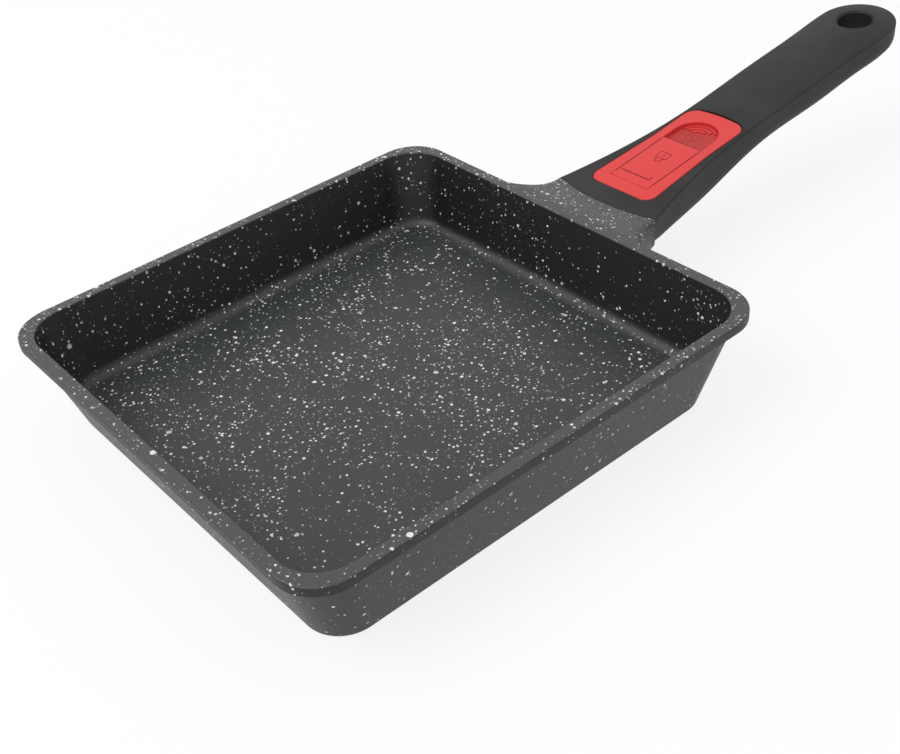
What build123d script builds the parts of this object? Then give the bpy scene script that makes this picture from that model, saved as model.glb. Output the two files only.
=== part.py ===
from build123d import *
import os
from math import atan2, cos, degrees, hypot, pi, radians, sin, sqrt, tan

# Square omelette pan with a detachable handle.
# Millimetres. The origin is the middle of the pan's base on the surface that it stands on.
# +X runs from the pan to the handle, +Z is up.
os.makedirs("parts", exist_ok=True)

# Cast pan
rim_length = 163.5
rim_width = 160.0
rim_corner_radius = 13.5
rim_inner_radius = 13.0
rim_ring = 3.8
rim_edge = 2.9
rim_overhang = 2.0
rim_round = 0.5
pan_height = 32.5
wall_draft = 16.0
cavity_draft = 14.0
floor_thickness = 7.5
wall_corner_radius = 16.0
base_corner_radius = 11.5
floor_corner_radius = 12.0
floor_fillet = 4.2
base_fillet = 1.6

# Induction plate in the underside
induction_length = 116.0
induction_width = 112.0
induction_thickness = 1.0
induction_corner_radius = 8.0
induction_hole = 5.0
induction_pitch = 14.0
induction_margin = 8.0

# Neck between the rim and the handle
neck_reach = 16.65
neck_width = 44.0
neck_depth = 10.0
neck_flare = 16.0
neck_flare_angle = 75.0
neck_run_out = 1.5
seam_drop = 1.7
seam_gap = 0.3
seam_lean = 14.0

# How far the neck's sides slope outwards and how round their edges are, from the rim to the seam
neck_slopes = (6.0, 6.4, 4.4, 0.3, 0.1)
neck_top_rounds = (6.0, 5.6, 3.6, 0.8, 0.6)
neck_foot_rounds = (4.0, 4.0, 3.0, 1.4, 1.4)

# Handle, measured along its own sloping axis from the seam's two ends
handle_pitch = 7.4
handle_length = 148.5
seam_width = 43.8
seam_bulge = 3.4
flare_width = 46.6
root_width = 43.8
shoulder_width = 36.7
belly_width = 29.7
throat_width = 27.4
grip_front_width = 28.4
grip_middle_width = 28.6
grip_rear_width = 29.6
end_width = 29.4
flare_depth = 8.3
root_depth = 11.1
shoulder_depth = 14.9
throat_depth = 12.7
grip_front_depth = 12.4
grip_middle_depth = 12.1
grip_rear_depth = 11.9
end_depth = 11.6
side_lean = 0.9

crease_round = 0.7

# Crown of the top face and rounding of the lower edges, from the pan to the end
section_crowns = (0.25, 0.25, 0.25, 0.25, 1.0, 1.8, 1.8, 1.8, 1.8)
foot_rounds = (5.0, 5.0, 7.2, 7.2, 7.2, 7.2, 7.2, 7.2, 7.2)

# Place of the handle's first section as a share of the length up to its round end
first_station_share = -0.04

# Hanging hole
hang_hole = 12.6
hang_flare = 0.8

# Red insert and the plate that slides in it
bezel_front = 5.0
bezel_length = 52.6
bezel_front_width = 27.6
bezel_waist_width = 24.0
bezel_rear_width = 24.4
bezel_rear_bulge = 1.5
bezel_front_radius = 4.0
bezel_waist_radius = 60.0
bezel_rear_radius = 5.0
bezel_waist_share = 0.6
bezel_depth = 2.8
bezel_proud = 0.25
bezel_gap = 0.25
bezel_edge_round = 0.3
channel_inset = 5.3
channel_width = 17.1
channel_length = 41.4
channel_depth = 1.2
plate_length = 26.5
plate_corner_radius = 0.6
plate_gap = 0.2
slide_play = 0.05
lock_travel = 8.0

# Steel tongue on the pan
tongue_width = 14.0
tongue_thickness = 2.3
tongue_level = 5.2
tongue_reach = 41.5
tongue_root = 14.0
tongue_corner_radius = 3.0
tongue_screw_size = 3.0
tongue_screw_head = 5.4
tongue_screw_length = 5.0
tongue_screw_spacing = 7.2

# Bolt with its cross pin
bolt_place = 34.0
bolt_length = 8.0
bolt_width = 7.2
bolt_height = 5.0
bolt_clearance = 0.4
slot_clearance = 0.6
bolt_chamfer = 0.5
pin_size = 1.8
pin_overhang = 0.2
pin_above_foot = 1.4

# Slide carrier
carrier_thickness = 0.9
carrier_margin = 0.9
cheek_thickness = 0.9
cheek_web = 0.8
cheek_end = 1.8
stem_size = 3.4
stem_spacing = 6.2
carrier_screw_size = 2.0
carrier_screw_head = 3.4
carrier_screw_length = 3.0

# Guide block that takes the tongue
guide_wall = 0.6
guide_end = 4.6
guide_roof_gap = 0.1
guide_screw_size = 2.5
guide_screw_head = 4.4
guide_screw_head_height = 1.6
guide_screw_spacing = 9.0
guide_screw_grip = 2.4
guide_screw_length = 5.0
nose_length = 4.0
nose_wall = 1.2
pad_thickness = 1.5
leaf_thickness = 0.3
leaf_width = 5.0
leaf_length = 11.0
leaf_pocket_depth = 1.0
leaf_inset = 2.0

# Cavity and cover in the underside of the handle
ledge_thickness = 3.0
cover_wall = 2.25
cover_rim = 4.5
cover_front_inset = 2.4
cover_rear_inset = 5.6
cover_border = 1.2
cover_corner_radius = 5.0
cover_lip = 2.0
cover_lip_width = 10.0
cover_lip_thickness = 1.4
cover_screw_size = 2.5
cover_screw_head = 4.4
cover_screw_head_height = 1.3
cover_screw_seat = 1.0
cover_screw_spacing = 10.0
cover_screw_length = 3.8
insert_size = 3.6
insert_length = 3.0

# Clearances shared by the pieces that meet
fit_gap = 0.05
seat_gap = 0.1
open_gap = 0.3
moving_gap = 0.4

# One overrun serves every cut that runs past a face
overrun = 10.0

# The handle's own frame lies on its top face, at the middle between the seam's two ends
seam_x = rim_length / 2 + neck_reach
seam_z = pan_height - seam_drop
pitch_cos = cos(radians(handle_pitch))
pitch_sin = sin(radians(handle_pitch))
handle_top = Plane(
    origin=(seam_x, 0, seam_z),
    x_dir=(pitch_cos, 0, pitch_sin),
    z_dir=(-pitch_sin, 0, pitch_cos),
)
handle_axis = Axis(origin=handle_top.origin, direction=handle_top.z_dir)
seam_plane = handle_top.rotated((0, seam_lean, 0))
seam_radius = (seam_width**2 / 4 + seam_bulge**2) / (2 * seam_bulge)
seam_centre = seam_radius - seam_bulge
end_centre = handle_length - end_width / 2

# Levels below the handle's top face
tongue_foot = tongue_level + tongue_thickness
bolt_travel = bolt_clearance + tongue_thickness
bolt_top = tongue_foot + bolt_clearance
bolt_foot = bolt_top + bolt_height
pin_level = bolt_foot - pin_above_foot
cheek_foot = pin_level + pin_size / 2 + fit_gap + cheek_web
cavity_foot = cheek_foot + moving_gap
belly_depth = cavity_foot + cover_wall
cover_split = belly_depth - cover_rim
cover_seat = cover_split + cover_screw_seat
ledge_foot = bezel_depth + ledge_thickness
guide_seat = ledge_foot + guide_screw_grip
plate_foot = channel_depth - slide_play
carrier_top = bezel_depth + slide_play
carrier_foot = carrier_top + carrier_thickness
roof_top = carrier_foot + guide_roof_gap

# Half widths about the handle's middle line
guide_half = tongue_width / 2 + fit_gap + guide_wall
nose_half = tongue_width / 2 + fit_gap + nose_wall
cheek_inner = guide_half + seat_gap
cheek_outer = cheek_inner + cheek_thickness
pin_half = cheek_outer + pin_overhang
cavity_half = pin_half + moving_gap
cover_half = cavity_half + cover_border

# Places along the handle
channel_front = bezel_front + channel_inset
plate_front = channel_front + plate_gap
plate_width = channel_width - 2 * plate_gap
stem_front = plate_front + lock_travel + open_gap + stem_size / 2
stem_rear = stem_front + stem_spacing
carrier_front = stem_front - stem_size / 2 - carrier_margin
cheek_front = bolt_place - lock_travel - pin_size / 2 - cheek_end
carrier_rear = max(bolt_place + pin_size / 2 + cheek_end, stem_rear + stem_size / 2 + carrier_margin)
cavity_front = carrier_front - 2 * moving_gap
guide_front = cavity_front + moving_gap
nose_front = guide_front - nose_length
leaf_front = nose_front + leaf_inset
pad_front = tongue_reach + open_gap
pad_rear = pad_front + pad_thickness
ledge_front = carrier_rear + lock_travel + 2 * moving_gap
guide_rear = max(pad_rear, ledge_front) + guide_end
cavity_rear = guide_rear + moving_gap
guide_screw_place = (ledge_front + guide_rear) / 2
cover_front = nose_front - cover_front_inset
cover_rear = cavity_rear + cover_rear_inset
cover_screw_place = (cavity_rear + cover_rear) / 2
tongue_screw_place = -(tongue_root + seam_bulge + seam_gap) / 2


def level(depth):
    """Plane parallel to the handle's top face, this far below it."""
    return handle_top.offset(-depth)


def across(place):
    """Plane square to the handle at a place along it, X to the left side and Y up."""
    return Plane(
        origin=handle_top.from_local_coords((place, 0, 0)),
        x_dir=(0, 1, 0),
        z_dir=handle_top.x_dir,
    )


def under(depth):
    """Plane at this depth below the handle's top face, facing down."""
    return Plane(
        origin=handle_top.from_local_coords((0, 0, -depth)),
        x_dir=handle_top.x_dir,
        z_dir=-handle_top.z_dir,
    )


def flank(side):
    """Plane along the handle and square to its top face, this far to the left."""
    return Plane(
        origin=handle_top.from_local_coords((0, side, 0)),
        x_dir=handle_top.x_dir,
        z_dir=(0, -1, 0),
    )


def bar(front, rear, width, mode=Mode.ADD):
    """Rectangle from one place along the handle to another, on the handle's middle line."""
    with Locations((front, 0)):
        Rectangle(rear - front, width, align=(Align.MIN, Align.CENTER), mode=mode)


def write(piece, name):
    """Label a finished piece and write its file."""
    piece.part.label = name
    export_step(piece.part, f"parts/{name}.step")


# Neck that joins the rim to the handle
wall_run = tan(radians(wall_draft))
cavity_run = tan(radians(cavity_draft))
base_inset = rim_overhang + (pan_height - rim_edge) * wall_run
floor_inset = rim_ring + (pan_height - floor_thickness) * cavity_run
rows_along = int((induction_length - 2 * induction_margin) / induction_pitch) + 1
rows_across = int((induction_width - 2 * induction_margin) / induction_pitch) + 1
neck_inner = rim_length / 2 - rim_ring - rim_overhang
neck_start = rim_length / 2 - rim_round
neck_run = seam_x + neck_run_out - neck_start
neck_foot = seam_z - neck_depth
neck_half = neck_width / 2
flare_end = neck_start + neck_flare * sin(radians(neck_flare_angle))


def neck_top(place):
    """Height of the neck's top face at a place along X: level at the rim, in line with the handle."""
    share = (place - neck_start) / (seam_x - neck_start)
    drop = seam_drop * share * share * (3 - 2 * share)
    lift = (seam_x - neck_start) * share * share * (share - 1) * pitch_sin / pitch_cos
    return pan_height - drop + lift


def neck_section(place, slope, top_round, foot_round):
    """Cross-section of the neck, its sides sloping outwards to the foot."""
    sweep = max(flare_end - place, 0) / neck_flare
    half = neck_half + neck_flare * (1 - sqrt(1 - sweep * sweep))
    top = neck_top(place)
    with BuildSketch() as section:
        Polygon(
            (-half, top), (-half - slope, neck_foot), (half + slope, neck_foot), (half, top), align=None
        )
        fillet(section.vertices().group_by(Axis.Y)[0], foot_round)
        fillet(section.vertices().group_by(Axis.Y)[-1], top_round)
    return section.sketch


last_neck_index = len(neck_slopes) - 1
with BuildPart() as neck:
    for index, shape in enumerate(zip(neck_slopes, neck_top_rounds, neck_foot_rounds)):
        run = (1 - cos(pi * index / last_neck_index)) / 2
        place = neck_start + run * neck_run
        with BuildSketch(Plane.YZ.offset(place)):
            add(neck_section(place, *shape))
    loft()
    with BuildSketch(Plane.YZ.offset(neck_start)):
        add(neck_section(neck_start, neck_slopes[0], neck_top_rounds[0], neck_foot_rounds[0]))
    extrude(amount=neck_inner - neck_start)

# Space inside the pan
with BuildPart() as cavity:
    with BuildSketch(Plane.XY.offset(floor_thickness)):
        RectangleRounded(
            rim_length - 2 * floor_inset, rim_width - 2 * floor_inset, floor_corner_radius
        )
    with BuildSketch(Plane.XY.offset(pan_height)):
        RectangleRounded(rim_length - 2 * rim_ring, rim_width - 2 * rim_ring, rim_inner_radius)
    loft(ruled=True)
    fillet(cavity.faces().sort_by(Axis.Z)[0].edges(), floor_fillet)

# Cast pan: drafted walls, flanged rim, neck, seat for the tongue and for the plate below
with BuildPart() as pan_body:
    with BuildSketch(Plane.XY):
        RectangleRounded(
            rim_length - 2 * base_inset, rim_width - 2 * base_inset, base_corner_radius
        )
    with BuildSketch(Plane.XY.offset(pan_height - rim_edge)):
        RectangleRounded(
            rim_length - 2 * rim_overhang, rim_width - 2 * rim_overhang, wall_corner_radius
        )
    loft(ruled=True)
    fillet(pan_body.faces().sort_by(Axis.Z)[0].edges(), base_fillet)
    with BuildSketch(Plane.XY.offset(pan_height - rim_edge)):
        RectangleRounded(rim_length, rim_width, rim_corner_radius)
    extrude(amount=rim_edge)
    fillet(pan_body.faces().sort_by(Axis.Z)[-1].edges(), rim_round)
    add(neck.part)
    with BuildSketch(seam_plane):
        with Locations((seam_centre, 0)):
            Circle(seam_radius + seam_gap)
    extrude(amount=pan_height, both=True, mode=Mode.SUBTRACT)
    add(cavity.part, mode=Mode.SUBTRACT)
    rim_top = pan_body.faces().filter_by(Axis.Z).sort_by(Axis.Z)[-1]
    fillet(rim_top.inner_wires()[0].edges(), rim_round)
    with BuildSketch(level(tongue_level)):
        bar(-tongue_root - fit_gap, overrun, tongue_width + 2 * fit_gap)
    extrude(amount=-pan_height, mode=Mode.SUBTRACT)
    with BuildSketch(level(tongue_level)):
        with Locations((tongue_screw_place, 0)):
            with GridLocations(0, tongue_screw_spacing, 1, 2):
                Circle(tongue_screw_size / 2 + fit_gap)
    extrude(amount=tongue_screw_length - tongue_thickness + fit_gap, mode=Mode.SUBTRACT)
    with BuildSketch(Plane.XY):
        RectangleRounded(
            induction_length + 2 * fit_gap,
            induction_width + 2 * fit_gap,
            induction_corner_radius + fit_gap,
        )
        with GridLocations(induction_pitch, induction_pitch, rows_along, rows_across):
            Circle(induction_hole / 2 - fit_gap, mode=Mode.SUBTRACT)
    extrude(amount=induction_thickness, mode=Mode.SUBTRACT)
write(pan_body, "pan_body")

# Steel induction plate pressed flush into the base
with BuildPart() as induction_plate:
    with BuildSketch(Plane.XY):
        RectangleRounded(induction_length, induction_width, induction_corner_radius)
        with GridLocations(induction_pitch, induction_pitch, rows_along, rows_across):
            Circle(induction_hole / 2, mode=Mode.SUBTRACT)
    extrude(amount=induction_thickness)
write(induction_plate, "induction_plate")

# Steel tongue screwed up into the neck, with the slot that the bolt enters
with BuildPart() as pan_tongue:
    with BuildSketch(level(tongue_level)) as tongue_plan:
        bar(-tongue_root, tongue_reach, tongue_width)
        fillet(tongue_plan.vertices().group_by(Axis.X)[-1], tongue_corner_radius)
        with Locations((bolt_place, 0)):
            Rectangle(
                bolt_length + 2 * slot_clearance, bolt_width + 2 * slot_clearance, mode=Mode.SUBTRACT
            )
    extrude(amount=-tongue_thickness)
    with Locations(under(tongue_foot)):
        with Locations((tongue_screw_place, 0)):
            with GridLocations(0, tongue_screw_spacing, 1, 2):
                CounterSinkHole(
                    tongue_screw_size / 2 + fit_gap, tongue_screw_head / 2 + fit_gap, tongue_thickness
                )
write(pan_tongue, "pan_tongue")


def sunk_screw(radius, head_radius, length):
    """Countersunk screw with its head's flat face on the local XY plane, pointing down."""
    with BuildPart() as screw:
        with BuildSketch(Plane.XZ):
            Polygon(
                (0, 0),
                (head_radius, 0),
                (radius, radius - head_radius),
                (radius, -length),
                (0, -length),
                align=None,
            )
        revolve(axis=Axis.Z)
    return screw.part


def flat_screw(radius, head_radius, head_height, length):
    """Flat-headed screw with the underside of its head on the local XY plane, pointing down."""
    with BuildPart() as screw:
        with BuildSketch(Plane.XZ):
            Polygon(
                (0, head_height),
                (head_radius, head_height),
                (head_radius, 0),
                (radius, 0),
                (radius, -length),
                (0, -length),
                align=None,
            )
        revolve(axis=Axis.Z)
    return screw.part


def handle_section(width, depth, crown, foot_round):
    """Cross-section of the handle with its top at the local X axis."""
    half = width / 2
    with BuildSketch() as section:
        with BuildLine():
            ThreePointArc((-half, 0), (0, crown), (half, 0))
            Polyline(
                (half, 0), (half - side_lean, -depth), (side_lean - half, -depth), (-half, 0)
            )
        make_face()
        fillet(section.vertices().group_by(Axis.Y)[0], foot_round)
        fillet(section.vertices().group_by(Axis.Y)[-1], crease_round)
    return section.sketch


def bezel_outline(grow):
    """Outline of the red insert, grown outwards by the given size."""
    front = bezel_front - grow
    rear = bezel_front + bezel_length + grow
    shoulder = rear - bezel_rear_bulge
    waist = bezel_front + bezel_length * bezel_waist_share
    front_half = bezel_front_width / 2 + grow
    waist_half = bezel_waist_width / 2 + grow
    rear_half = bezel_rear_width / 2 + grow
    with BuildSketch() as outline:
        with BuildLine():
            Polyline(
                (shoulder, -rear_half),
                (waist, -waist_half),
                (front, -front_half),
                (front, front_half),
                (waist, waist_half),
                (shoulder, rear_half),
            )
            ThreePointArc((shoulder, rear_half), (rear, 0), (shoulder, -rear_half))
        make_face()
        fillet(outline.vertices().group_by(Axis.X)[0], bezel_front_radius + grow)
        fillet(outline.vertices().group_by(Axis.X)[-1], bezel_rear_radius + grow)
        fillet(
            outline.vertices().filter_by_position(Axis.X, waist - seat_gap, waist + seat_gap),
            bezel_waist_radius,
        )
    return outline.sketch


def rounded_bar(front, rear, width, radius):
    """Rounded rectangle on the handle's middle line."""
    with Locations(((front + rear) / 2, 0)):
        RectangleRounded(rear - front, width, radius)


# Screws that hold the tongue, driven from below
with BuildPart() as tongue_screws:
    with Locations(under(tongue_foot)):
        with Locations((tongue_screw_place, 0)):
            with GridLocations(0, tongue_screw_spacing, 1, 2):
                add(sunk_screw(tongue_screw_size / 2, tongue_screw_head / 2, tongue_screw_length))
write(tongue_screws, "tongue_screws")

# Solid form of the handle, shared by its shell and its cover.
# The sections lie closer together towards both ends, which keeps the loft between them even.
station_widths = (
    flare_width,
    root_width,
    shoulder_width,
    belly_width,
    throat_width,
    grip_front_width,
    grip_middle_width,
    grip_rear_width,
    end_width,
)
station_depths = (
    flare_depth,
    root_depth,
    shoulder_depth,
    belly_depth,
    throat_depth,
    grip_front_depth,
    grip_middle_depth,
    grip_rear_depth,
    end_depth,
)
first_station = first_station_share * end_centre
last_index = len(station_widths) - 1
end_axis = Axis(
    origin=handle_top.from_local_coords((end_centre, 0, 0)), direction=-handle_top.z_dir
)

with BuildPart() as handle_blank:
    for index, section in enumerate(
        zip(station_widths, station_depths, section_crowns, foot_rounds)
    ):
        run = (1 - cos(pi * index / last_index)) / 2
        with BuildSketch(across(first_station + run * (end_centre - first_station))):
            add(handle_section(*section))
    loft()
    with BuildSketch(across(end_centre)):
        add(handle_section(end_width, end_depth, section_crowns[-1], foot_rounds[-1]))
        split(bisect_by=Plane.YZ)
    revolve(axis=end_axis, revolution_arc=180)
    with BuildSketch(seam_plane):
        bar(-seam_centre, seam_centre, 2 * seam_radius)
        with Locations((seam_centre, 0)):
            Circle(seam_radius, mode=Mode.SUBTRACT)
    extrude(amount=pan_height, both=True, mode=Mode.SUBTRACT)

# Handle shell: pockets for the red insert, the lock and the cover, socket for the tongue
nose_top = tongue_level - fit_gap - nose_wall
nose_foot = tongue_foot + fit_gap + leaf_pocket_depth + nose_wall
cavity_end = belly_depth + overrun
hole_top = section_crowns[-1] * (1 - (hang_hole / end_width) ** 2)
with BuildPart() as handle_shell:
    add(handle_blank.part)
    with BuildSketch(level(bezel_depth)):
        add(bezel_outline(bezel_gap))
    extrude(amount=bezel_depth + overrun, mode=Mode.SUBTRACT)
    with BuildSketch(level(bezel_depth)):
        bar(cavity_front, ledge_front, 2 * cavity_half)
    extrude(amount=bezel_depth - cavity_end, mode=Mode.SUBTRACT)
    with BuildSketch(level(ledge_foot)):
        bar(cavity_front, cavity_rear, 2 * cavity_half)
    extrude(amount=ledge_foot - cavity_end, mode=Mode.SUBTRACT)
    with BuildSketch(level(nose_top - seat_gap)):
        bar(nose_front - seat_gap, cavity_front, 2 * (nose_half + seat_gap))
    extrude(amount=nose_top - seat_gap - cavity_end, mode=Mode.SUBTRACT)
    with BuildSketch(level(tongue_level - open_gap)):
        bar(-overrun, nose_front, tongue_width + 2 * open_gap)
    extrude(amount=-tongue_thickness - 2 * open_gap, mode=Mode.SUBTRACT)
    with BuildSketch(level(cover_split)):
        rounded_bar(cover_front, cover_rear, 2 * cover_half, cover_corner_radius)
    extrude(amount=cover_split - cavity_end, mode=Mode.SUBTRACT)
    with BuildSketch(level(cover_split)):
        bar(cover_front - cover_lip, cover_front + cover_lip, cover_lip_width)
    extrude(amount=-cover_lip_thickness, mode=Mode.SUBTRACT)
    with BuildSketch(level(cover_split)):
        with Locations((cover_screw_place, 0)):
            with GridLocations(0, cover_screw_spacing, 1, 2):
                Circle(insert_size / 2)
    extrude(amount=insert_length, mode=Mode.SUBTRACT)
    with BuildSketch(level(ledge_foot)):
        with Locations((guide_screw_place, 0)):
            with GridLocations(0, guide_screw_spacing, 1, 2):
                Circle(guide_screw_size / 2 + fit_gap)
    extrude(amount=guide_screw_length - guide_screw_grip + fit_gap, mode=Mode.SUBTRACT)
    with BuildSketch(across(end_centre)):
        Polygon(
            (0, hole_top + hang_flare),
            (hang_hole / 2 + 2 * hang_flare, hole_top + hang_flare),
            (hang_hole / 2, hole_top - hang_flare),
            (hang_hole / 2, hang_flare - end_depth),
            (hang_hole / 2 + 2 * hang_flare, -end_depth - hang_flare),
            (0, -end_depth - hang_flare),
            align=None,
        )
    revolve(axis=end_axis, mode=Mode.SUBTRACT)
write(handle_shell, "handle_shell")

# Cover that closes the lock from below
with BuildPart() as lock_cover:
    add(handle_blank.part)
    with BuildSketch(level(cover_split)):
        rounded_bar(
            cover_front + seat_gap,
            cover_rear - seat_gap,
            2 * (cover_half - seat_gap),
            cover_corner_radius - seat_gap,
        )
    extrude(amount=cover_split - cavity_end, mode=Mode.INTERSECT)
    with BuildSketch(level(cover_split)):
        bar(cavity_front, ledge_front, 2 * cavity_half)
    extrude(amount=cover_split - cavity_foot, mode=Mode.SUBTRACT)
    with BuildSketch(level(cover_split + seat_gap)):
        bar(
            cover_front - cover_lip + seat_gap,
            cover_front + cover_lip,
            cover_lip_width - 2 * seat_gap,
        )
    extrude(amount=2 * seat_gap - cover_lip_thickness)
    with BuildSketch(level(cover_split)):
        with Locations((cover_screw_place, 0)):
            with GridLocations(0, cover_screw_spacing, 1, 2):
                Circle(cover_screw_size / 2 + seat_gap)
    extrude(amount=cover_split - cavity_end, mode=Mode.SUBTRACT)
    with BuildSketch(level(cover_seat)):
        with Locations((cover_screw_place, 0)):
            with GridLocations(0, cover_screw_spacing, 1, 2):
                Circle(cover_screw_head / 2 + seat_gap)
    extrude(amount=cover_seat - cavity_end, mode=Mode.SUBTRACT)
write(lock_cover, "lock_cover")

# Screws that hold the cover, driven from below
with BuildPart() as cover_screws:
    with Locations(under(cover_seat)):
        with Locations((cover_screw_place, 0)):
            with GridLocations(0, cover_screw_spacing, 1, 2):
                add(
                    flat_screw(
                        cover_screw_size / 2,
                        cover_screw_head / 2,
                        cover_screw_head_height,
                        cover_screw_length,
                    )
                )
write(cover_screws, "cover_screws")

# Brass inserts moulded into the shell for the cover's screws
with BuildPart() as cover_inserts:
    with BuildSketch(level(cover_split)):
        with Locations((cover_screw_place, 0)):
            with GridLocations(0, cover_screw_spacing, 1, 2):
                Circle(insert_size / 2)
                Circle(cover_screw_size / 2 + fit_gap, mode=Mode.SUBTRACT)
    extrude(amount=insert_length)
write(cover_inserts, "cover_inserts")

# Red insert with the channel that the plate slides in and the slot for the plate's stems
channel_rear = channel_front + channel_length
stem_slot_front = stem_front - stem_size / 2 - open_gap
stem_slot_rear = stem_rear + stem_size / 2 + lock_travel + open_gap
with BuildPart() as lock_bezel:
    with BuildSketch(level(bezel_depth)):
        add(bezel_outline(0))
    extrude(amount=bezel_depth + bezel_proud)
    fillet(
        lock_bezel.faces().sort_by(handle_axis)[-1].edges(),
        bezel_edge_round,
    )
    with BuildSketch(level(channel_depth)):
        bar(channel_front, channel_rear - channel_width / 2, channel_width)
        with Locations((channel_rear - channel_width / 2, 0)):
            Circle(channel_width / 2)
    extrude(amount=channel_depth + overrun, mode=Mode.SUBTRACT)
    with BuildSketch(level(bezel_depth)):
        bar(stem_slot_front, stem_slot_rear, stem_size + 2 * open_gap)
    extrude(amount=bezel_depth, mode=Mode.SUBTRACT)
write(lock_bezel, "lock_bezel")

# Sliding plate with the two stems that carry the slide below
with BuildPart() as lock_plate:
    with BuildSketch(level(plate_foot)):
        rounded_bar(plate_front, plate_front + plate_length, plate_width, plate_corner_radius)
    extrude(amount=plate_foot + bezel_proud)
    with BuildSketch(level(carrier_top)):
        with Locations(((stem_front + stem_rear) / 2, 0)):
            with GridLocations(stem_spacing, 0, 2, 1):
                RectangleRounded(stem_size, stem_size, plate_corner_radius)
    extrude(amount=carrier_top - plate_foot)
    with BuildSketch(level(carrier_top)):
        with Locations(((stem_front + stem_rear) / 2, 0)):
            with GridLocations(stem_spacing, 0, 2, 1):
                Circle(carrier_screw_size / 2 + fit_gap)
    extrude(
        amount=carrier_screw_length - carrier_thickness + fit_gap, mode=Mode.SUBTRACT
    )
write(lock_plate, "lock_plate")

# Carrier below the plate: its inclined slots lift the bolt
slot_angle = degrees(atan2(bolt_travel, lock_travel))
with BuildPart() as slide_carrier:
    with BuildSketch(level(carrier_foot)):
        bar(carrier_front, carrier_rear, 2 * cheek_outer)
    extrude(amount=carrier_thickness)
    with BuildSketch(level(cheek_foot)):
        bar(cheek_front, carrier_rear, 2 * cheek_outer)
        bar(cheek_front, carrier_rear, 2 * cheek_inner, Mode.SUBTRACT)
    extrude(amount=cheek_foot - carrier_foot)
    with BuildSketch(flank(0)):
        with Locations((bolt_place - lock_travel / 2, bolt_travel / 2 - pin_level)):
            SlotCenterToCenter(
                hypot(lock_travel, bolt_travel), pin_size + 2 * fit_gap, rotation=-slot_angle
            )
    extrude(amount=cavity_half, both=True, mode=Mode.SUBTRACT)
    with Locations(under(carrier_foot)):
        with Locations(((stem_front + stem_rear) / 2, 0)):
            with GridLocations(stem_spacing, 0, 2, 1):
                CounterSinkHole(
                    carrier_screw_size / 2 + fit_gap,
                    carrier_screw_head / 2 + fit_gap,
                    carrier_thickness,
                )
write(slide_carrier, "slide_carrier")

# Screws that hold the carrier to the plate's stems
with BuildPart() as carrier_screws:
    with Locations(under(carrier_foot)):
        with Locations(((stem_front + stem_rear) / 2, 0)):
            with GridLocations(stem_spacing, 0, 2, 1):
                add(
                    sunk_screw(
                        carrier_screw_size / 2, carrier_screw_head / 2, carrier_screw_length
                    )
                )
write(carrier_screws, "carrier_screws")

# Guide block: passage for the tongue, pocket for the bolt, room for the pin and the leaf
leaf_rear = leaf_front + leaf_length
leaf_pocket_foot = tongue_foot + fit_gap + leaf_pocket_depth
passage_front = nose_front - overrun
pin_slot_top = pin_level - bolt_travel - pin_size / 2 - seat_gap
with BuildPart() as latch_guide:
    with BuildSketch(level(bolt_foot)):
        bar(nose_front + nose_length, guide_rear, 2 * guide_half)
    extrude(amount=bolt_foot - roof_top)
    with BuildSketch(level(nose_foot)):
        bar(nose_front, nose_front + nose_length, 2 * nose_half)
    extrude(amount=nose_foot - nose_top)
    with BuildSketch(level(ledge_foot)):
        bar(ledge_front - seat_gap, guide_rear, 2 * guide_half)
    extrude(amount=ledge_foot, mode=Mode.SUBTRACT)
    with BuildSketch(level(cover_split - open_gap)):
        bar(ledge_front - open_gap, guide_rear, 2 * guide_half)
    extrude(amount=-bolt_foot, mode=Mode.SUBTRACT)
    with BuildSketch(level(tongue_foot + fit_gap)):
        bar(passage_front, pad_rear, tongue_width + 2 * fit_gap)
    extrude(amount=tongue_thickness + 2 * fit_gap, mode=Mode.SUBTRACT)
    with BuildSketch(level(leaf_pocket_foot)):
        bar(leaf_front - open_gap, leaf_rear + open_gap, leaf_width + 2 * open_gap)
    extrude(amount=leaf_pocket_depth, mode=Mode.SUBTRACT)
    with BuildSketch(level(tongue_foot)):
        with Locations((bolt_place, 0)):
            Rectangle(bolt_length + 2 * fit_gap, bolt_width + 2 * fit_gap)
    extrude(amount=-bolt_foot, mode=Mode.SUBTRACT)
    with BuildSketch(level(pin_slot_top)):
        with Locations((bolt_place, 0)):
            Rectangle(pin_size + 2 * seat_gap, 2 * cavity_half)
    extrude(amount=-bolt_foot, mode=Mode.SUBTRACT)
    with BuildSketch(level(ledge_foot)):
        with Locations((guide_screw_place, 0)):
            with GridLocations(0, guide_screw_spacing, 1, 2):
                Circle(guide_screw_size / 2 + fit_gap)
    extrude(amount=-bolt_foot, mode=Mode.SUBTRACT)
    with BuildSketch(level(guide_seat)):
        with Locations((guide_screw_place, 0)):
            with GridLocations(0, guide_screw_spacing, 1, 2):
                Circle(guide_screw_head / 2 + seat_gap)
    extrude(amount=-bolt_foot, mode=Mode.SUBTRACT)
write(latch_guide, "latch_guide")

# Screws that hold the guide to the ledge of the shell
with BuildPart() as guide_screws:
    with Locations(under(guide_seat)):
        with Locations((guide_screw_place, 0)):
            with GridLocations(0, guide_screw_spacing, 1, 2):
                add(
                    flat_screw(
                        guide_screw_size / 2,
                        guide_screw_head / 2,
                        guide_screw_head_height,
                        guide_screw_length,
                    )
                )
write(guide_screws, "guide_screws")

# Soft pad behind the end of the tongue
with BuildPart() as socket_pad:
    with BuildSketch(level(tongue_foot)):
        bar(pad_front, pad_rear, tongue_width)
    extrude(amount=tongue_thickness)
write(socket_pad, "socket_pad")

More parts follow.
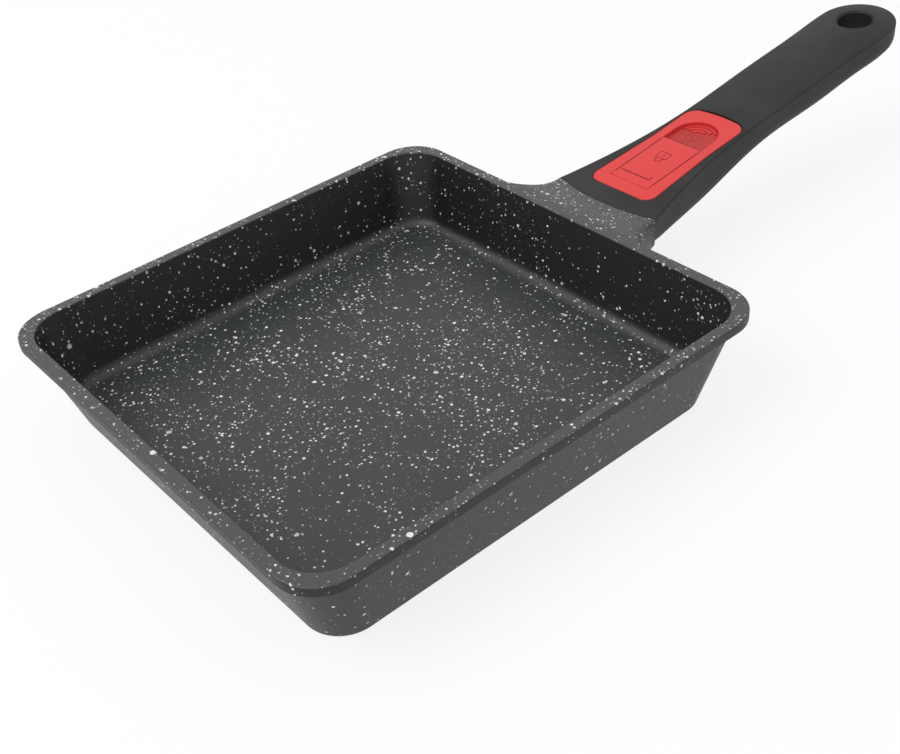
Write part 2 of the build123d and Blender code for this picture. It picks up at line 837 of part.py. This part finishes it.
# Leaf spring that bears on the tongue from below
leaf_middle = (leaf_front + leaf_rear) / 2
leaf_crown = -tongue_foot - fit_gap
leaf_end = leaf_thickness - leaf_pocket_foot
with BuildPart() as tongue_spring:
    with BuildSketch(flank(0)):
        with BuildLine():
            ThreePointArc((leaf_front, leaf_end), (leaf_middle, leaf_crown), (leaf_rear, leaf_end))
            Line((leaf_rear, leaf_end), (leaf_rear, leaf_end - leaf_thickness))
            ThreePointArc(
                (leaf_rear, leaf_end - leaf_thickness),
                (leaf_middle, leaf_crown - leaf_thickness),
                (leaf_front, leaf_end - leaf_thickness),
            )
            Line((leaf_front, leaf_end - leaf_thickness), (leaf_front, leaf_end))
        make_face()
    extrude(amount=leaf_width / 2, both=True)
write(tongue_spring, "tongue_spring")

# Bolt that rises into the tongue's slot
with BuildPart() as latch_bolt:
    with BuildSketch(level(bolt_foot)):
        with Locations((bolt_place, 0)):
            Rectangle(bolt_length, bolt_width)
    extrude(amount=bolt_height)
    chamfer(latch_bolt.faces().sort_by(handle_axis)[-1].edges(), bolt_chamfer)
    with BuildSketch(flank(0)):
        with Locations((bolt_place, -pin_level)):
            Circle(pin_size / 2)
    extrude(amount=bolt_width, both=True, mode=Mode.SUBTRACT)
write(latch_bolt, "latch_bolt")

# Cross pin of the bolt, guided by the carrier's slots
with BuildPart() as bolt_pin:
    with BuildSketch(flank(0)):
        with Locations((bolt_place, -pin_level)):
            Circle(pin_size / 2)
    extrude(amount=pin_half, both=True)
write(bolt_pin, "bolt_pin")
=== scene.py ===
from math import cos, pi, radians, sin

import bpy
from mathutils import Matrix, Vector


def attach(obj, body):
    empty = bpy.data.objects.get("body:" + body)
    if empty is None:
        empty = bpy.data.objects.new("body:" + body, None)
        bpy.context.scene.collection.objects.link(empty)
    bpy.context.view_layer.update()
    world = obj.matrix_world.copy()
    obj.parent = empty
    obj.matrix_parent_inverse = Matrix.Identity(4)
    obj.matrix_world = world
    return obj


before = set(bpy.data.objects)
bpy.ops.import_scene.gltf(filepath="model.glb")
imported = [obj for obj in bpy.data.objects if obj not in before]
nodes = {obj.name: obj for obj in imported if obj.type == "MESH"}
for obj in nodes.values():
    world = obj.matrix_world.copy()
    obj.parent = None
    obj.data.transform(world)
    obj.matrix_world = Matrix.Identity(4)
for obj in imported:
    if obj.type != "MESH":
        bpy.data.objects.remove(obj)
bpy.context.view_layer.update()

scene = bpy.context.scene
MM = 0.001

# Sizes of the part's source, in millimetres
RIM_LENGTH = 163.5
PAN_HEIGHT = 32.5
SEAM_REACH = 16.65  # from the rim's end to the seam
SEAM_DROP = 1.7
CHANNEL_FRONT = 10.3
PLATE_GAP = 0.2
PLATE_LENGTH = 26.5
CHANNEL_END = (43.15, 0.0)  # middle of the channel's round end
BEZEL_TOP = 0.25
CHANNEL_FLOOR = -1.2
PLATE_TOP = BEZEL_TOP - 0.01
TONGUE_ROOT = 14
SEAM_BULGE = 3.4
SEAM_GAP = 0.3

# The handle's own frame, as in the part's source: u along the handle, v to the left, h up
PITCH = radians(7.4)
ALONG = Vector((cos(PITCH), 0, sin(PITCH)))
ACROSS = Vector((0, 1, 0))
NORMAL = Vector((-sin(PITCH), 0, cos(PITCH)))
SEAM = Vector((RIM_LENGTH / 2 + SEAM_REACH, 0, PAN_HEIGHT - SEAM_DROP))


def place(u, v, h):
    """A point of the handle's frame, in metres in the part's frame."""
    return (SEAM + u * ALONG + v * ACROSS + h * NORMAL) * MM


def set_camera():
    """Camera solved from the photograph's straight edges and corners."""
    azimuth, elevation, roll = radians(-36.969), radians(36.942), radians(-5.989)
    target = Vector((-3.551, -38.661, PAN_HEIGHT))
    distance = 355.23
    back = Vector((sin(azimuth) * cos(elevation), -cos(azimuth) * cos(elevation), sin(elevation)))
    eye = target + back * distance
    right = (-back).cross(Vector((0, 0, 1))).normalized()
    up = right.cross(-back)
    x_axis = right * cos(roll) + up * sin(roll)
    y_axis = -right * sin(roll) + up * cos(roll)
    data = bpy.data.cameras.new("camera")
    data.sensor_width = 36
    data.lens = 51.76
    data.clip_start = 0.01
    data.clip_end = 50
    camera = bpy.data.objects.new("camera", data)
    turn = Matrix((x_axis, y_axis, back)).transposed().to_4x4()
    camera.matrix_world = Matrix.Translation(eye * MM) @ turn
    scene.collection.objects.link(camera)
    scene.camera = camera


class Nodes:
    """Short calls to build a material's node tree; sizes are in metres."""

    def __init__(self, name):
        self.material = bpy.data.materials.new(name)
        self.material.use_nodes = True
        self.tree = self.material.node_tree
        self.tree.nodes.clear()
        self.output = self.add("ShaderNodeOutputMaterial")

    def add(self, kind, **values):
        node = self.tree.nodes.new(kind)
        for key, value in values.items():
            setattr(node, key, value)
        return node

    def link(self, source, target):
        self.tree.links.new(source, target)

    def put(self, socket, value):
        """Link an output to the socket, or set its constant."""
        if hasattr(value, "is_output"):
            self.link(value, socket)
        else:
            socket.default_value = value

    def math(self, operation, a, b=0.0, c=0.0):
        node = self.add("ShaderNodeMath", operation=operation)
        for socket, value in zip(node.inputs, (a, b, c)):
            self.put(socket, value)
        return node.outputs[0]

    def vector(self, operation, a, b=(0, 0, 0), scale=None):
        node = self.add("ShaderNodeVectorMath", operation=operation)
        self.put(node.inputs[0], a)
        self.put(node.inputs[1], b)
        if scale is not None:
            self.put(node.inputs["Scale"], scale)
        return node.outputs["Value" if operation in ("DOT_PRODUCT", "LENGTH") else "Vector"]

    def split(self, vector):
        node = self.add("ShaderNodeSeparateXYZ")
        self.link(vector, node.inputs[0])
        return node.outputs

    def position(self):
        return self.add("ShaderNodeTexCoord").outputs["Object"]

    def noise(self, where, size, detail=2.0, roughness=0.5, output="Fac"):
        node = self.add("ShaderNodeTexNoise")
        self.put(node.inputs["Vector"], where)
        self.put(node.inputs["Scale"], 1 / size)
        self.put(node.inputs["Detail"], detail)
        self.put(node.inputs["Roughness"], roughness)
        return node.outputs[output]

    def cells(self, where, size):
        node = self.add("ShaderNodeTexVoronoi")
        self.put(node.inputs["Vector"], where)
        self.put(node.inputs["Scale"], 1 / size)
        return node.outputs

    def ramp(self, value, low, high, start=0.0, end=1.0):
        """Smooth step from start at low to end at high."""
        node = self.add("ShaderNodeMapRange", interpolation_type="SMOOTHSTEP")
        keys = ("Value", "From Min", "From Max", "To Min", "To Max")
        for key, number in zip(keys, (value, low, high, start, end)):
            self.put(node.inputs[key], number)
        return node.outputs["Result"]

    def mix(self, factor, a, b):
        node = self.add("ShaderNodeMix", data_type="RGBA")
        self.put(node.inputs[0], factor)
        self.put(node.inputs[6], a)
        self.put(node.inputs[7], b)
        return node.outputs[2]

    def bump(self, height, distance, strength):
        node = self.add("ShaderNodeBump")
        self.put(node.inputs["Height"], height)
        self.put(node.inputs["Distance"], distance)
        self.put(node.inputs["Strength"], strength)
        return node.outputs["Normal"]

    def surface(self, color, roughness, normal, **fixed):
        shader = self.add("ShaderNodeBsdfPrincipled")
        self.put(shader.inputs["Base Color"], color)
        self.put(shader.inputs["Roughness"], roughness)
        for key, value in fixed.items():
            shader.inputs[key.replace("_", " ")].default_value = value
        self.link(normal, shader.inputs["Normal"])
        self.link(shader.outputs[0], self.output.inputs["Surface"])
        return self.material


def grey(level, tint=(1, 1, 1)):
    return (level * tint[0], level * tint[1], level * tint[2], 1)


# Speck grades of the coating: cell size, speck radius, share of the cells used, brightness
SPECK_GRADES = (
    (0.0011, 0.00027, 0.64, 0.34),
    (0.0016, 0.00036, 0.68, 0.92),
    (0.0026, 0.00050, 0.58, 1.0),
    (0.0072, 0.00082, 0.34, 1.0),
)
SPECK_SHIFT = (0.0131, 0.0177, 0.0113)
RIM_LEVELS = (0.0275, 0.0300)


def coating_specks(n, at, wall, inside):
    """Pale specks of several grades in loose crowds, fewer of them on the walls."""
    warp = n.vector("SUBTRACT", n.noise(at, 0.0011, 2, output="Color"), (0.5,) * 3)
    shifted = n.vector("ADD", at, n.vector("SCALE", warp, scale=0.0007))
    crowd = n.noise(at, 0.014, 2)
    sparse = n.math("MULTIPLY_ADD", wall, -0.72, n.math("MULTIPLY_ADD", inside, 0.2, 1.0))
    specks = None
    for grade, (size, radius, share, bright) in enumerate(SPECK_GRADES, start=1):
        relative = radius / size
        offset = tuple(step * grade for step in SPECK_SHIFT)
        cell = n.cells(n.vector("ADD", shifted, offset), size)
        split = n.add("ShaderNodeSeparateColor")
        n.link(cell["Color"], split.inputs[0])
        limit = n.math("MULTIPLY", n.ramp(crowd, 0.33, 0.67, share * 0.45, share * 1.5), sparse)
        chosen = n.math("LESS_THAN", split.outputs["Red"], limit)
        reach = n.math("MULTIPLY_ADD", split.outputs["Green"], 0.65 * relative, 0.6 * relative)
        edge = n.math("SUBTRACT", reach, cell["Distance"])
        level = n.math("MULTIPLY_ADD", split.outputs["Blue"], 0.5 * bright, 0.5 * bright)
        round_edge = n.ramp(edge, 0.0, 0.28 * relative)
        spot = n.math("MULTIPLY", n.math("MULTIPLY", chosen, level), round_edge)
        specks = spot if specks is None else n.math("MAXIMUM", specks, spot)
    return specks


def coating_material():
    """Dark non-stick coating: painted light makes the rim and neck lightest, painted shade makes
    the inner walls darkest and the outside walls dark.
    """
    n = Nodes("speckled_coating")
    at = n.position()
    upward = n.split(n.add("ShaderNodeTexCoord").outputs["Normal"])["Z"]
    flat = n.ramp(upward, 0.35, 0.85)
    wall = n.math("SUBTRACT", 1.0, flat)
    inside = n.math("MULTIPLY", n.ramp(upward, 0.02, 0.12), wall)
    specks = coating_specks(n, at, wall, inside)
    # Flat faces at the rim's height, the rim top and the neck, take the painted lit tone
    rim = n.math("MULTIPLY", n.ramp(n.split(at)["Z"], *RIM_LEVELS), flat)
    mottle = n.noise(at, 0.0005, 3, 0.6)
    cloud = n.noise(at, 0.03, 2)
    tone = n.math("MULTIPLY_ADD", cloud, 0.4, n.math("MULTIPLY", mottle, 0.6))
    # Lit and shaded copies of the one coating: the floor tone is its own colour, light is a
    # painted lit tone, dark and the outside walls' tone are painted shade
    floor = n.mix(tone, grey(0.023, (0.88, 1, 1.04)), grey(0.051, (0.90, 1, 1.03)))
    light = n.mix(tone, grey(0.042, (0.92, 1, 1.03)), grey(0.078, (0.94, 1, 1.02)))
    dark = n.mix(tone, grey(0.002, (0.85, 1, 1.1)), grey(0.005, (0.85, 1, 1.1)))
    painted_outer_wall_shade = n.mix(tone, grey(0.003, (0.92, 1, 1.03)), grey(0.009, (0.92, 1, 1.03)))
    base = n.mix(rim, n.mix(inside, n.mix(flat, painted_outer_wall_shade, floor), dark), light)
    color = n.mix(specks, base, grey(0.95, (1, 1, 0.99)))
    rough = n.ramp(mottle, 0.3, 0.7, 0.40, 0.52)
    grain = n.noise(at, 0.0004, 3, 0.6)
    normal = n.bump(n.math("ADD", grain, n.math("MULTIPLY", specks, 0.8)), 0.00002, 0.6)
    return n.surface(color, rough, normal)


def handle_material(name, level):
    """Matt moulded plastic with a fine grain."""
    n = Nodes(name)
    at = n.position()
    grain = n.noise(at, 0.0005, 3, 0.65)
    pits = n.cells(at, 0.0006)["Distance"]
    cloud = n.noise(at, 0.02, 3)
    tone = n.math("MULTIPLY_ADD", grain, 0.55, n.math("MULTIPLY", cloud, 0.45))
    tint = (0.97, 1, 1)
    color = n.mix(n.ramp(tone, 0.35, 0.65), grey(level * 0.5, tint), grey(level * 1.6, tint))
    height = n.math("ADD", grain, n.math("MULTIPLY", pits, 0.6))
    normal = n.bump(height, 0.00005, 0.8)
    rough = n.ramp(grain, 0.3, 0.7, 0.52, 0.68)
    return n.surface(color, rough, normal, Specular_IOR_Level=0.35)


def red_material():
    """Satin red plastic; the floor of the channel is coarser and darker."""
    n = Nodes("red_plastic")
    at = n.position()
    level = n.math("SUBTRACT", n.vector("DOT_PRODUCT", at, tuple(NORMAL)), SEAM.dot(NORMAL) * MM)
    floor = n.ramp(level, -0.0011, -0.0008, 1.0, 0.0)
    grain = n.noise(at, 0.0004, 3, 0.6)
    coarse = n.noise(at, 0.0007, 2, 0.6)
    smooth_red = n.mix(grain, (0.76, 0.040, 0.040, 1), (0.84, 0.058, 0.056, 1))
    patches = n.ramp(coarse, 0.35, 0.65)
    rough_red = n.mix(patches, (0.46, 0.034, 0.030, 1), (0.60, 0.056, 0.050, 1))
    color = n.mix(floor, smooth_red, rough_red)
    height = n.mix(floor, n.math("MULTIPLY", grain, 0.4), coarse)
    normal = n.bump(height, 0.00004, 0.5)
    rough = n.ramp(floor, 0, 1, 0.42, 0.6)
    return n.surface(color, rough, normal, Specular_IOR_Level=0.35)


def steel_material(name):
    """Brushed steel, its fine lines along the handle."""
    n = Nodes(name)
    stretched = n.vector("MULTIPLY", n.position(), (0.06, 1, 1))
    lines = n.noise(stretched, 0.00025, 3, 0.6)
    level = 0.55
    color = n.mix(lines, grey(level * 0.85), grey(level * 1.1))
    rough = n.ramp(lines, 0.3, 0.7, 0.26, 0.42)
    return n.surface(color, rough, n.bump(lines, 0.00001, 0.4), Metallic=1.0)


def turned_material(name):
    """Steel plate with fine rings about the pan's middle."""
    n = Nodes(name)
    far = n.vector("LENGTH", n.vector("MULTIPLY", n.position(), (1, 1, 0)))
    rings = n.noise(n.vector("SCALE", (1, 0.3, 0.2), scale=far), 0.0002, 3, 0.7)
    level = 0.5
    color = n.mix(rings, grey(level * 0.8), grey(level * 1.12))
    rough = n.ramp(rings, 0.3, 0.7, 0.26, 0.42)
    return n.surface(color, rough, n.bump(rings, 0.00001, 0.5), Metallic=1.0)


def plain_material(name, color, rough, metallic=0.0):
    """One colour with a faint grain."""
    n = Nodes(name)
    grain = n.noise(n.position(), 0.0006, 3, 0.6)
    low = tuple(channel * 0.85 for channel in color) + (1,)
    high = tuple(channel * 1.12 for channel in color) + (1,)
    spread = n.ramp(grain, 0.3, 0.7, rough - 0.06, rough + 0.06)
    return n.surface(
        n.mix(grain, low, high), spread, n.bump(grain, 0.00001, 0.4), Metallic=metallic
    )


coating = coating_material()
shell_plastic = handle_material("handle_plastic", 0.015)
cover_plastic = handle_material("cover_plastic", 0.013)
guide_plastic = handle_material("guide_plastic", 0.05)
red = red_material()
bright_steel = steel_material("bright_steel")
screw_steel = plain_material("screw_steel", (0.5, 0.5, 0.51), 0.3, 1.0)
induction_steel = turned_material("induction_steel")
brass = plain_material("brass", (0.72, 0.5, 0.2), 0.3, 1.0)
pad_rubber = plain_material("pad_rubber", (0.03, 0.03, 0.03), 0.7)
# Dark red of the marks on the plate and channel, also the colour of the painted shadow behind the
# plate's rear edge
mark_and_shadow_red = plain_material("mark_and_shadow_red", (0.30, 0.012, 0.012), 0.6)
# Black standing for the shade inside the screws' cross recesses: painted shade
painted_recess_shade = plain_material("painted_recess_shade", (0.01, 0.01, 0.01), 0.6)

node_materials = {
    "pan_body": coating,
    "induction_plate": induction_steel,
    "pan_tongue": bright_steel,
    "tongue_screws": screw_steel,
    "handle_shell": shell_plastic,
    "lock_cover": cover_plastic,
    "cover_screws": screw_steel,
    "cover_inserts": brass,
    "lock_bezel": red,
    "latch_guide": guide_plastic,
    "guide_screws": screw_steel,
    "socket_pad": pad_rubber,
    "tongue_spring": bright_steel,
    "lock_plate": red,
    "slide_carrier": bright_steel,
    "carrier_screws": screw_steel,
    "latch_bolt": bright_steel,
    "bolt_pin": bright_steel,
}


def ridge(name, route, width, level, height, body, material):
    """Low rib along a route in the handle's plane, its sides sloping a little."""
    route = [Vector(point) for point in route]
    points = []
    for index, point in enumerate(route):
        before = route[max(index - 1, 0)]
        after = route[min(index + 1, len(route) - 1)]
        side = Vector((-(after - before).y, (after - before).x)).normalized() * width / 2
        points += [
            place(*(point + side), level),
            place(*(point + side * 0.7), level + height),
            place(*(point - side * 0.7), level + height),
            place(*(point - side), level),
        ]
    faces = [(0, 1, 2, 3), tuple(len(points) - 4 + k for k in (3, 2, 1, 0))]
    for start in range(0, len(points) - 4, 4):
        for k in range(4):
            step = (k + 1) % 4
            faces.append((start + k, start + 4 + k, start + 4 + step, start + step))
    mesh = bpy.data.meshes.new(name)
    mesh.from_pydata(points, [], faces)
    mesh.materials.append(material)
    piece = bpy.data.objects.new(name, mesh)
    scene.collection.objects.link(piece)
    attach(piece, body)


def red_ridge(name, route, width, level, height, body, material=mark_and_shadow_red):
    ridge(name, route, width, level, height, body, material)


def arc(centre, radius, start, end, count=20):
    """Points of an arc in the handle's plane, angles in degrees from the handle's direction."""
    turn = [radians(start + (end - start) * k / count) for k in range(count + 1)]
    return [(centre[0] + radius * cos(t), centre[1] + radius * sin(t)) for t in turn]


def padlock(name, centre, size, level, height, body, is_open):
    """Plain outline of a padlock, its shackle towards the pan."""
    u, v = centre
    half, end, bow = size / 2, u + 0.8 * size, 0.3 * size
    box = [(u, v - half), (end, v - half), (end, v + half), (u, v + half), (u, v - half)]
    lift = 0.28 * size if is_open else 0.0
    shackle = [(u, v - bow)]
    for k in range(13):
        turn = pi * k / 12
        shackle.append((u - lift - 0.2 * size - bow * sin(turn), v - bow * cos(turn)))
    if not is_open:
        shackle.append((u, v + bow))
    keyhole = [(u + 0.28 * size, v), (u + 0.55 * size, v)]
    lines = (("body", box, 0.42), ("shackle", shackle, 0.42), ("key", keyhole, 0.5))
    for part, route, width in lines:
        red_ridge(f"{name}_{part}", route, width, level, height, body)


def screw_cross(name, centre, size, level, body):
    """Cross recess of a screw head, drawn as a dark cross of painted shade flush with the head.
    """
    u, v = centre
    half = size / 2
    for index, (du, dv) in enumerate(((half, 0), (0, half))):
        route = [(u - du, v - dv), (u + du, v + dv)]
        ridge(f"{name}_{index}", route, 0.7, level, -0.03, body, painted_recess_shade)


def make_marks():
    """Marks of the lock and the dark lines round its plate; the line behind the plate's rear edge
    is a painted shadow.

    The floor's marks stay clear of the plate when it is slid back over them.
    """
    floor = CHANNEL_FLOOR - 0.01
    grip_line = [(16.5, -4.9), (14.7, -5.2), (14.7, 6.8)]
    red_ridge("grip_line", grip_line, 0.55, PLATE_TOP, 0.14, "slide")
    padlock("closed_padlock", (26.6, 0.5), 4.4, PLATE_TOP, 0.09, "slide", False)
    padlock("open_padlock", (42.0, 1.2), 4.0, floor, 0.03, "handle", True)
    arcs = ((7.7, 64, -40), (6.1, 58, -30), (4.6, 48, -14))
    for index, (radius, start, end) in enumerate(arcs):
        route = arc(CHANNEL_END, radius, start, end)
        red_ridge(f"turn_mark_{index}", route, 0.9, floor, 0.5, "handle", red)

    # Painted shadow: a dark rib on the channel floor just behind the plate's rear edge, where the
    # step's shade falls
    behind = CHANNEL_FRONT + PLATE_GAP + PLATE_LENGTH + 0.12
    rear_painted_shadow = [(behind, -7.9), (behind, 7.9)]
    red_ridge("plate_rear_painted_shadow", rear_painted_shadow, 0.5, -1.05, 1.27, "slide")
    for side in (-1, 1):
        route = [(12.4, side * 8.15), (36.0, side * 8.15)]
        red_ridge(f"plate_side_line_{side + 1}", route, 0.45, 0.0, 0.27, "slide")


def make_screw_crosses():
    screw_place = -(TONGUE_ROOT + SEAM_BULGE + SEAM_GAP) / 2
    for side in (-1, 1):
        screw_cross(f"tongue_drive_{side + 1}", (screw_place, side * 3.6), 2.6, -7.5, "pan")
        screw_cross(f"cover_drive_{side + 1}", (53.3, side * 5.0), 2.4, -13.7, "handle")


def make_stage():
    """White floor that keeps a faint shadow of the pan."""
    n = Nodes("floor")
    shader = n.add("ShaderNodeBsdfPrincipled")
    shader.inputs["Base Color"].default_value = (0.9, 0.9, 0.9, 1)
    shader.inputs["Roughness"].default_value = 0.9
    shader.inputs["Specular IOR Level"].default_value = 0.0
    glow = n.add("ShaderNodeEmission")
    glow.inputs["Strength"].default_value = 1.04
    path = n.add("ShaderNodeLightPath")
    seen = n.math("MAXIMUM", path.outputs["Is Camera Ray"], path.outputs["Is Glossy Ray"])
    seen = n.math("MAXIMUM", seen, path.outputs["Is Transmission Ray"])
    blend = n.add("ShaderNodeMixShader")
    n.link(n.math("MULTIPLY", seen, 0.8), blend.inputs[0])
    n.link(shader.outputs[0], blend.inputs[1])
    n.link(glow.outputs[0], blend.inputs[2])
    n.link(blend.outputs[0], n.output.inputs["Surface"])
    reach = 6.0
    corners = [(-reach, -reach, 0), (reach, -reach, 0), (reach, reach, 0), (-reach, reach, 0)]
    mesh = bpy.data.meshes.new("floor")
    mesh.from_pydata(corners, [], [(0, 1, 2, 3)])
    mesh.materials.append(n.material)
    floor = bpy.data.objects.new("floor", mesh)
    scene.collection.objects.link(floor)
    floor.location = (0, 0, -0.0002)


def make_world():
    """White surroundings, dimmer as a light than as they are seen or mirrored."""
    world = bpy.data.worlds.new("world")
    scene.world = world
    world.use_nodes = True
    tree = world.node_tree
    tree.nodes.clear()
    output = tree.nodes.new("ShaderNodeOutputWorld")
    background = tree.nodes.new("ShaderNodeBackground")
    path = tree.nodes.new("ShaderNodeLightPath")
    seen = tree.nodes.new("ShaderNodeMath")
    seen.operation = "MAXIMUM"
    tree.links.new(path.outputs["Is Camera Ray"], seen.inputs[0])
    tree.links.new(path.outputs["Is Transmission Ray"], seen.inputs[1])
    reflect = tree.nodes.new("ShaderNodeMath")
    reflect.operation = "MAXIMUM"
    tree.links.new(seen.outputs[0], reflect.inputs[0])
    tree.links.new(path.outputs["Is Glossy Ray"], reflect.inputs[1])
    strength = tree.nodes.new("ShaderNodeMapRange")
    tree.links.new(reflect.outputs[0], strength.inputs["Value"])
    strength.inputs["To Min"].default_value = 0.62
    strength.inputs["To Max"].default_value = 1.0
    background.inputs["Color"].default_value = (1, 1, 1, 1)
    tree.links.new(strength.outputs["Result"], background.inputs["Strength"])
    tree.links.new(background.outputs[0], output.inputs["Surface"])


def area_light(name, where, towards, size, power):
    data = bpy.data.lights.new(name, "AREA")
    data.shape = "DISK"
    data.size = size
    data.energy = power
    lamp = bpy.data.objects.new(name, data)
    lamp.location = where
    lamp.rotation_euler = (Vector(towards) - Vector(where)).to_track_quat("-Z", "Y").to_euler()
    scene.collection.objects.link(lamp)


set_camera()
for name, material in node_materials.items():
    node = nodes[name]
    node.data.materials.clear()
    node.data.materials.append(material)
make_marks()
make_screw_crosses()
make_stage()
make_world()
area_light("key", (-0.9, 0.3, 1.3), (0, 0, 0), 1.2, 11.0)
scene.view_settings.view_transform = "Standard"
